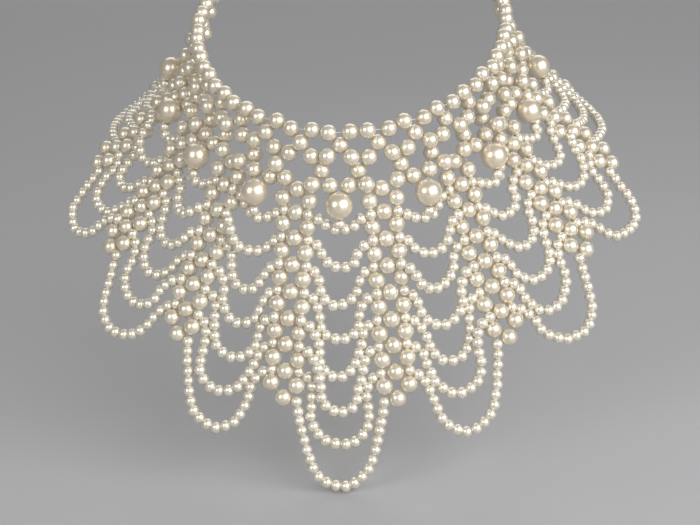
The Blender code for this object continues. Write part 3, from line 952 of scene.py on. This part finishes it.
@dataclass
class Stringing:
    """The bead places and thread routes of one piece, before they are beaded."""

    places: list[np.ndarray] = field(default_factory=list)
    beads: list[bool] = field(default_factory=list)
    ways: list[np.ndarray] = field(default_factory=list)
    swells: list[float] = field(default_factory=list)
    routes: list[tuple[int, int]] = field(default_factory=list)

    def add(self, place: np.ndarray, way: np.ndarray | None = None, swell: float = 1.0) -> int:
        """Add a bead, or a bare point of the thread.

        Args:
            place: The point.
            way: The direction of the bead's hole, or None for a bare point.
            swell: The bead's size against the others.

        Returns:
            The point's number, for the thread's routes.
        """
        self.places.append(place)
        self.beads.append(way is not None)
        self.ways.append(np.array([0.0, 0.0, 1.0]) if way is None else way)
        self.swells.append(swell)
        return len(self.places) - 1

    def string(self, line: np.ndarray, ways: np.ndarray | list, swell: float = 1.0) -> None:
        """Thread a row of beads between two bare points.

        Args:
            line: The points, of which the first and the last are bare.
            ways: The direction of each bead's hole.
            swell: The beads' size against the others.
        """
        point = self.add(line[0])
        for place, way in zip(line[1:-1], ways):
            bead = self.add(place, way, swell)
            self.routes.append((point, bead))
            point = bead
        self.routes.append((point, self.add(line[-1])))

    def mesh(self, name: str) -> Mesh:
        """The points and routes as the bead weave reads them.

        Args:
            name: The mesh's name.

        Returns:
            A mesh of points and edges, with each point's bead, swell and way.
        """
        mesh = bpy.data.meshes.new(name)
        mesh.from_pydata([tuple(place) for place in self.places], self.routes, [])
        mesh.attributes.new("bead", "BOOLEAN", "POINT").data.foreach_set("value", self.beads)
        mesh.attributes.new("swell", "FLOAT", "POINT").data.foreach_set("value", self.swells)
        ways = mesh.attributes.new("way", "FLOAT_VECTOR", "POINT")
        ways.data.foreach_set("vector", np.array(self.ways).ravel())
        return mesh


@dataclass
class BeadWeave:
    """The node tree that puts beads on the points of a stringing and thread along its routes."""

    thread: Material
    thread_radius: float = 0.00011
    thread_sides: int = 5
    size_spread: float = 0.012
    tilt_spread: float = 0.09
    tree: NodeTree = field(init=False)
    given: bpy_prop_collection = field(init=False)
    inputs: dict[str, str] = field(init=False, default_factory=dict)

    def __post_init__(self) -> None:
        """Build the tree once, for every beaded piece."""
        self.tree = bpy.data.node_groups.new("bead_weave", "GeometryNodeTree")
        face = self.tree.interface
        face.new_socket("Geometry", in_out="OUTPUT", socket_type="NodeSocketGeometry")
        kinds = {
            "Geometry": "Geometry",
            "Bead Radius": "Float",
            "Length Share": "Float",
            "Segments": "Int",
            "Rings": "Int",
            "Size Spread": "Float",
            "Tilt Spread": "Float",
            "Off Centre": "Float",
            "Thread Radius": "Float",
            "Thread Sides": "Int",
            "Seed": "Int",
            "Bead Finish": "Material",
            "Thread Finish": "Material",
        }
        for name, kind in kinds.items():
            socket = face.new_socket(name, in_out="INPUT", socket_type=f"NodeSocket{kind}")
            self.inputs[name] = socket.identifier
        self.given = self.tree.nodes.new("NodeGroupInput").outputs
        join = self.tree.nodes.new("GeometryNodeJoinGeometry")
        for made in (self.bead_nodes(), self.thread_nodes()):
            self.tree.links.new(made, join.inputs[0])
        real = self.add("RealizeInstances", {"Geometry": join.outputs[0]})
        coated = self.add("SetMaterial", {"Geometry": real, "Material": self.given["Bead Finish"]})
        is_thread = self.attribute("thread", "BOOLEAN")
        feeds = {"Geometry": coated, "Selection": is_thread, "Material": self.given["Thread Finish"]}
        out = self.tree.nodes.new("NodeGroupOutput")
        self.tree.links.new(self.add("SetMaterial", feeds), out.inputs[0])

    def add(self, kind: str, feeds: dict, **settings: object) -> NodeSocket:
        """Add a geometry node and give its first output."""
        return add_node(self.tree, f"GeometryNode{kind}", feeds, **settings).outputs[0]

    def attribute(self, name: str, kind: str) -> NodeSocket:
        """A named attribute of the stringing."""
        node = add_node(self.tree, "GeometryNodeInputNamedAttribute", {"Name": name}, data_type=kind)
        return live(node.outputs, "Attribute")

    def bead_nodes(self) -> NodeSocket:
        """The nodes that make the beads.

        Returns:
            The beads as instances, each with its own tint.
        """
        tree, given = self.tree, self.given
        feeds = {"Segments": given["Segments"], "Rings": given["Rings"], "Radius": given["Bead Radius"]}
        ball = self.add("MeshUVSphere", feeds)
        form = add_node(tree, "ShaderNodeCombineXYZ", {"X": 1.0, "Y": 1.0, "Z": given["Length Share"]})
        ball = self.add("Transform", {"Geometry": ball, "Scale": form.outputs[0]})
        ball = self.add("SetShadeSmooth", {"Geometry": ball})
        way = self.attribute("way", "FLOAT_VECTOR")
        turn = add_node(tree, "FunctionNodeAlignRotationToVector", {"Vector": way}, axis="Z")
        tilt = add_node(tree, "FunctionNodeEulerToRotation", {0: self.either_way("Tilt Spread")})
        feeds = {0: turn.outputs[0], 1: tilt.outputs[0]}
        turn = add_node(tree, "FunctionNodeRotateRotation", feeds, rotation_space="LOCAL")
        small = add_sum(tree, "SUBTRACT", 1.0, given["Size Spread"])
        large = add_sum(tree, "ADD", 1.0, given["Size Spread"])
        size = self.random("FLOAT", small, large)
        feeds = {
            "Points": given["Geometry"],
            "Selection": self.attribute("bead", "BOOLEAN"),
            "Instance": ball,
            "Rotation": turn.outputs[0],
            "Scale": add_sum(tree, "MULTIPLY", size, self.attribute("swell", "FLOAT")),
        }
        beads = self.add("InstanceOnPoints", feeds)
        feeds = {"Instances": beads, "Translation": self.either_way("Off Centre")}
        beads = self.add("TranslateInstances", feeds)
        feeds = {"Geometry": beads, "Name": "tint", "Value": self.random("FLOAT", 0.0, 1.0)}
        return self.add("StoreNamedAttribute", feeds, data_type="FLOAT", domain="INSTANCE")

    def thread_nodes(self) -> NodeSocket:
        """The nodes that make the thread.

        Returns:
            The thread as a mesh whose faces are marked as thread.
        """
        line = self.add("MeshToCurve", {"Mesh": self.given["Geometry"]})
        feeds = {"Resolution": self.given["Thread Sides"], "Radius": self.given["Thread Radius"]}
        ring = self.add("CurvePrimitiveCircle", feeds, mode="RADIUS")
        tube = self.add("CurveToMesh", {"Curve": line, "Profile Curve": ring, "Fill Caps": True})
        tube = self.add("SetShadeSmooth", {"Geometry": tube})
        feeds = {"Geometry": tube, "Name": "thread", "Value": True}
        return self.add("StoreNamedAttribute", feeds, data_type="BOOLEAN", domain="FACE")

    def random(self, kind: str, low: object, high: object) -> NodeSocket:
        """A random value for each bead, of a data type and between two values or sockets."""
        feeds = {"Min": low, "Max": high, "Seed": self.given["Seed"]}
        return live(add_node(self.tree, "FunctionNodeRandomValue", feeds, data_type=kind).outputs, "Value")

    def either_way(self, name: str) -> NodeSocket:
        """A random vector for each bead, with parts up to one of the tree's inputs either way."""
        least = add_sum(self.tree, "MULTIPLY", self.given[name], -1.0)
        return self.random("FLOAT_VECTOR", least, self.given[name])

    def bead(
        self,
        name: str,
        stringing: Stringing,
        form: BeadForm,
        coat: Material,
        seed: int,
        off_centre: float = 0.0,
    ) -> Object:
        """Bead one stringing and make it a plain mesh.

        Args:
            name: The piece's name.
            stringing: Its beads and thread.
            form: The kind of bead.
            coat: The beads' finish.
            seed: The seed of its random sizes, tilts and tints.
            off_centre: How far the holes may lie off the beads' middles.

        Returns:
            The finished object.
        """
        source = add_object(f"{name}_stringing", stringing.mesh(f"{name}_stringing"))
        modifier = source.modifiers.new("bead_weave", "NODES")
        modifier.node_group = self.tree
        values = {
            "Bead Radius": form.radius,
            "Length Share": form.length_share,
            "Segments": form.segments,
            "Rings": form.rings,
            "Size Spread": self.size_spread,
            "Tilt Spread": self.tilt_spread,
            "Off Centre": off_centre,
            "Thread Radius": self.thread_radius,
            "Thread Sides": self.thread_sides,
            "Seed": seed,
            "Bead Finish": coat,
            "Thread Finish": self.thread,
        }
        for label, value in values.items():
            modifier[self.inputs[label]] = value
        graph = bpy.context.evaluated_depsgraph_get()
        mesh = bpy.data.meshes.new_from_object(
            source.evaluated_get(graph), preserve_all_data_layers=True, depsgraph=graph
        )
        mesh.name = name
        source.modifiers.clear()
        bpy.data.objects.remove(source)
        return add_object(name, mesh)


def dress(piece: Object, node: str) -> Object:
    """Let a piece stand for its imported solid.

    Args:
        piece: The finished piece.
        node: The solid's node.

    Returns:
        The same piece.
    """
    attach(piece, "root")
    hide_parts(node)
    return piece


def turned_mesh(name: str, profile: list[tuple[float, float]], sides: int, axis: Matrix) -> Mesh:
    """A turned form, closed at both ends.

    Args:
        name: The mesh's name.
        profile: Its places along the axis and the radius at each, with zero radius at both ends.
        sides: How many sides it has.
        axis: The matrix that puts the form, turned about +Z, in its place.

    Returns:
        The mesh, smooth, with its faces outward.
    """
    form = bmesh.new()
    rings = []
    for along, radius in profile:
        if radius == 0.0:
            rings.append([form.verts.new((0.0, 0.0, along))])
        else:
            turns = [2 * math.pi * side / sides for side in range(sides)]
            rings.append([form.verts.new((radius * math.cos(t), radius * math.sin(t), along)) for t in turns])
    for low, high in zip(rings, rings[1:]):
        for side in range(sides):
            after = (side + 1) % sides
            corners = [low[side % len(low)], low[after % len(low)]]
            corners += [high[after % len(high)], high[side % len(high)]]
            form.faces.new(list(dict.fromkeys(corners)))
    bmesh.ops.transform(form, matrix=axis, verts=form.verts)
    bmesh.ops.recalc_face_normals(form, faces=form.faces)
    for face in form.faces:
        face.smooth = True
    mesh = bpy.data.meshes.new(name)
    form.to_mesh(mesh)
    form.free()
    return mesh


@dataclass
class NecklineStrand:
    """The strand round the neck: pairs of touching pearls in front, plain touching pearls behind."""

    plan: CollarPlan
    woven: WovenBeads
    weave: BeadWeave
    finishes: Finishes
    seed: int = 101
    end_gap: float = 0.00001

    def build(self) -> Object:
        """Thread the strand from one end of the clasp to the other.

        Returns:
            The dressed piece.
        """
        surface = self.plan.surface
        last = surface.half_loop - self.end_gap
        ends = [surface.point(np.array(side.value * last), np.array(0.0)) for side in Side]
        line = np.stack([ends[0], *self.woven.of("neckline_strand"), ends[1]])
        ways = [surface.directions(np.array(a), np.array(d))[0] for a, d in self.plan.strand_places()]
        stringing = Stringing()
        stringing.string(line, ways)
        piece = self.weave.bead("neckline_pearls", stringing, PEARL, self.finishes.pearl, self.seed)
        return dress(piece, "neckline_strand")


@dataclass
class WovenPiece:
    """The net or a ladder: round pearls held by thread between those that touch."""

    node: str
    woven: WovenBeads
    weave: BeadWeave
    finishes: Finishes
    seed: int
    reach: float = 0.0013

    def build(self) -> Object:
        """Thread each pearl to its near neighbours, also to those of the pieces beside it.

        Returns:
            The dressed piece.
        """
        stringing = Stringing()
        points: dict[int, int] = {}
        mine = [number for number, owner in enumerate(self.woven.owners) if owner == self.node]
        places, radii = self.woven.places, self.woven.radii
        for number in mine:
            apart = places - places[number]
            gaps = np.linalg.norm(apart, axis=1) - radii - radii[number]
            gaps[number] = np.inf
            swell = radii[number] / PEARL.radius
            points[number] = stringing.add(places[number], apart[np.argmin(gaps)], swell)
        for number in mine:
            gaps = np.linalg.norm(places - places[number], axis=1) - radii - radii[number]
            for other in np.nonzero(gaps < self.reach)[0]:
                if other == number or (other in mine and other < number):
                    continue
                if other not in points:
                    points[other] = stringing.add(places[other])
                stringing.routes.append((points[number], points[other]))
        piece = self.weave.bead(f"{self.node}_pearls", stringing, PEARL, self.finishes.pearl, self.seed)
        return dress(piece, self.node)


@dataclass
class Garland:
    """The seed-bead swags of one unit."""

    number: int
    drape: SwagDrape
    weave: BeadWeave
    finishes: Finishes
    seed: int
    off_centre: float = 0.00016

    def build(self) -> Object:
        """Thread each swag from its left ladder to its right one.

        Returns:
            The dressed piece.
        """
        stringing = Stringing()
        unit = self.drape.plan.units[self.number - 1]
        for swag in self.drape.swags:
            if swag.unit != unit:
                continue
            line = np.concatenate([swag.mouths[:1], swag.beads, swag.mouths[1:]])
            swell = float(self.drape.plan.swell(np.array(self.drape.plan.single_depth(swag.level))))
            stringing.string(line, line[2:] - line[:-2], swell)
        node = f"garland_{self.number}"
        coat = self.finishes.seed
        piece = self.weave.bead(f"{node}_seeds", stringing, SEED, coat, self.seed, self.off_centre)
        return dress(piece, node)


@dataclass
class DropPearl:
    """A large pearl that hangs under the net, with the dimples of its hole."""

    number: int
    plan: CollarPlan
    woven: WovenBeads
    finishes: Finishes
    hole_radius: float = 0.0005
    dimple: float = 0.0004
    dimple_taper: float = 0.9

    def build(self) -> Object:
        """Turn the pearl about the line of its thread.

        Returns:
            The dressed piece.
        """
        node = f"drop_pearl_{self.number}"
        place = self.woven.of(node)[0]
        stopper = stopper_place(self.plan, self.woven, self.number)
        way = Vector(place - stopper)
        axis = Matrix.Translation(place) @ way.to_track_quat("Z", "X").to_matrix().to_4x4()
        start = math.asin(self.hole_radius / DROP.radius)
        turns = [start + (math.pi - 2 * start) * ring / DROP.rings for ring in range(DROP.rings + 1)]
        profile = [(-DROP.radius * math.cos(turn), DROP.radius * math.sin(turn)) for turn in turns]
        floor = DROP.radius - self.dimple
        dimple = self.hole_radius * self.dimple_taper
        profile = [(-floor, 0.0), (-floor, dimple)] + profile + [(floor, dimple), (floor, 0.0)]
        mesh = turned_mesh(f"{node}_bead", profile, DROP.segments, axis)
        mesh.materials.append(self.finishes.drop)
        return dress(add_object(f"{node}_bead", mesh), node)


@dataclass
class DropThreads:
    """The thread of every drop, from the net through the drop to the small bead that stops it."""

    plan: CollarPlan
    woven: WovenBeads
    weave: BeadWeave
    finishes: Finishes
    seed: int = 301
    top_share: float = 0.8

    def build(self) -> Object:
        """Thread the nine stoppers.

        Returns:
            The dressed piece.
        """
        stringing = Stringing()
        for number in range(1, self.plan.unit_count + 1):
            drop = self.woven.of(f"drop_pearl_{number}")[0]
            stopper = stopper_place(self.plan, self.woven, number)
            top = stringing.add(drop + (drop - stopper) * self.top_share)
            bead = stringing.add(stopper, stopper - drop)
            stringing.routes.append((top, bead))
        piece = self.weave.bead("drop_stoppers", stringing, SEED, self.finishes.seed, self.seed)
        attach(piece, "root")
        return piece


@dataclass
class Clasp:
    """The barrel clasp at the nape, with a seam at its middle and a collar at each end."""

    plan: CollarPlan
    finishes: Finishes
    radius: float = 0.0030
    sides: int = 32
    half_profile: tuple[tuple[float, float], ...] = (
        (0.00, 0.90),
        (0.02, 0.90),
        (0.03, 1.00),
        (0.20, 1.00),
        (0.30, 0.97),
        (0.38, 0.86),
        (0.43, 0.70),
        (0.45, 0.58),
        (0.46, 0.58),
        (0.475, 0.62),
        (0.49, 0.58),
        (0.50, 0.45),
        (0.50, 0.00),
    )

    def build(self) -> Object:
        """Turn the barrel about the line of the strand.

        Returns:
            The dressed piece.
        """
        surface = self.plan.surface
        place = surface.neckline(np.array(math.pi))
        half = [(along * self.plan.clasp_length, share * self.radius) for along, share in self.half_profile]
        profile = [(-along, radius) for along, radius in half[:0:-1]] + half
        axis = Matrix.Translation(place) @ Matrix.Rotation(math.pi / 2, 4, "Y")
        mesh = turned_mesh("clasp_barrel", profile, self.sides, axis)
        mesh.materials.append(self.finishes.metal)
        return dress(add_object("clasp_barrel", mesh), "clasp")


@dataclass(frozen=True)
class SoftLight:
    """One soft light of the studio, as it is set round the necklace."""

    name: str
    azimuth: float
    elevation: float
    distance: float
    size: tuple[float, float]
    power: float


@dataclass
class Studio:
    """The pale floor, the soft lights and the camera at the photograph's viewing angle."""

    target: tuple[float, float, float] = (0.002893, -0.0750, -0.073887)
    azimuth: float = 4.186
    elevation: float = 20.0
    roll: float = -1.098
    distance: float = 0.500
    lens: float = 72.28
    sensor: float = 36.0
    floor_half: float = 3.0
    floor_gap: float = 0.0006
    floor_pale: Colour = (0.44, 0.44, 0.45, 1.0)
    floor_dark: Colour = (0.41, 0.41, 0.42, 1.0)
    floor_roughness: float = 0.7
    cloud_scale: float = 3.0
    cloud_detail: float = 3.0
    world_power: float = 0.24
    lights: tuple[SoftLight, ...] = (
        SoftLight("window_light", 50.0, 28.0, 0.80, (1.00, 0.78), 7.6),
        SoftLight("lamp_light", -38.0, 26.0, 0.85, (0.40, 0.48), 2.5),
        SoftLight("floor_light", 180.0, 40.0, 3.00, (3.40, 2.00), 26.0),
    )

    def directions(self, azimuth: float, elevation: float) -> tuple[Vector, Vector, Vector]:
        """The right, up and backward directions of something that looks at the necklace.

        Args:
            azimuth: Degrees round from the front toward +X.
            elevation: Degrees above level.

        Returns:
            The three unit directions.
        """
        turn, rise = math.radians(azimuth), math.radians(elevation)
        back = Vector((math.sin(turn) * math.cos(rise), -math.cos(turn) * math.cos(rise), math.sin(rise)))
        right = Vector((math.cos(turn), math.sin(turn), 0.0))
        return right, back.cross(right), back

    def aim(
        self, item: Object, azimuth: float, elevation: float, distance: float, roll: float = 0.0
    ) -> None:
        """Put a light or the camera round the target, looking at it.

        Args:
            item: The light or camera.
            azimuth: Degrees round from the front toward +X.
            elevation: Degrees above level.
            distance: Its distance from the target.
            roll: Degrees turned about its line of sight.
        """
        right, up, back = self.directions(azimuth, elevation)
        turn = math.radians(roll)
        right, up = right * math.cos(turn) + up * math.sin(turn), up * math.cos(turn) - right * math.sin(turn)
        matrix = Matrix((right, up, back)).transposed().to_4x4()
        item.matrix_world = Matrix.Translation(Vector(self.target) + back * distance) @ matrix

    def build(self) -> None:
        """Set up the floor, the lights, the world and the camera."""
        self.build_floor()
        for light in self.lights:
            lamp = bpy.data.lights.new(light.name, "AREA")
            lamp.shape = "RECTANGLE"
            lamp.size, lamp.size_y = light.size
            lamp.energy = light.power
            self.aim(add_object(light.name, lamp), light.azimuth, light.elevation, light.distance)
        world = bpy.data.worlds.new("soft_room")
        world.use_nodes = True
        world.node_tree.nodes["Background"].inputs["Strength"].default_value = self.world_power
        world.node_tree.nodes["Background"].inputs["Color"].default_value = (1.0, 1.0, 1.0, 1.0)
        bpy.context.scene.world = world
        lens = bpy.data.cameras.new("photo_camera")
        lens.lens = self.lens
        lens.sensor_width = self.sensor
        camera = add_object("photo_camera", lens)
        self.aim(camera, self.azimuth, self.elevation, self.distance, self.roll)
        bpy.context.scene.camera = camera
        bpy.context.scene.view_settings.view_transform = "Standard"

    def build_floor(self) -> None:
        """Lay the floor just under the lowest swag."""
        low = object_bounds()[0][2] - self.floor_gap
        half = self.floor_half
        mesh = bpy.data.meshes.new("studio_floor")
        corners = [(-half, -half, low), (half, -half, low), (half, half, low), (-half, half, low)]
        mesh.from_pydata(corners, [], [(0, 1, 2, 3)])
        nodes = SurfaceNodes("studio_floor")
        cloud = nodes.noise(self.cloud_scale, self.cloud_detail)
        nodes.colour(cloud, self.floor_pale, self.floor_dark)
        nodes.fixed({"Roughness": self.floor_roughness})
        mesh.materials.append(nodes.material)
        add_object("studio_floor", mesh)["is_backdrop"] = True


def main() -> None:
    """Build the necklace piece by piece, and then the studio."""
    logging.basicConfig(level=logging.INFO, format="%(name)s: %(message)s")
    plan = CollarPlan()
    woven = WovenBeads(plan)
    drape = SwagDrape(plan, woven)
    weave = BeadWeave(CLEAR_THREAD.material())
    finishes = Finishes(
        pearl=PEARL_COAT.material(),
        seed=SEED_COAT.material(),
        drop=DROP_COAT.material(),
        metal=CLASP_METAL.material(),
    )
    stock = (woven, weave, finishes)
    makers = [NecklineStrand(plan, *stock), WovenPiece("net", *stock, NET_SEED)]
    for number in range(1, plan.unit_count + 2):
        makers.append(WovenPiece(f"ladder_{number}", *stock, LADDER_SEED + number))
    for number in range(1, plan.unit_count + 1):
        makers.append(Garland(number, drape, weave, finishes, GARLAND_SEED + number))
        makers.append(DropPearl(number, plan, woven, finishes))
    makers += [DropThreads(plan, *stock), Clasp(plan, finishes)]
    for maker in makers:
        piece = maker.build()
        MAKER_LOG.info("%s: %d faces", piece.name, len(piece.data.polygons))
    Studio().build()


if __name__ == "__main__":
    main()
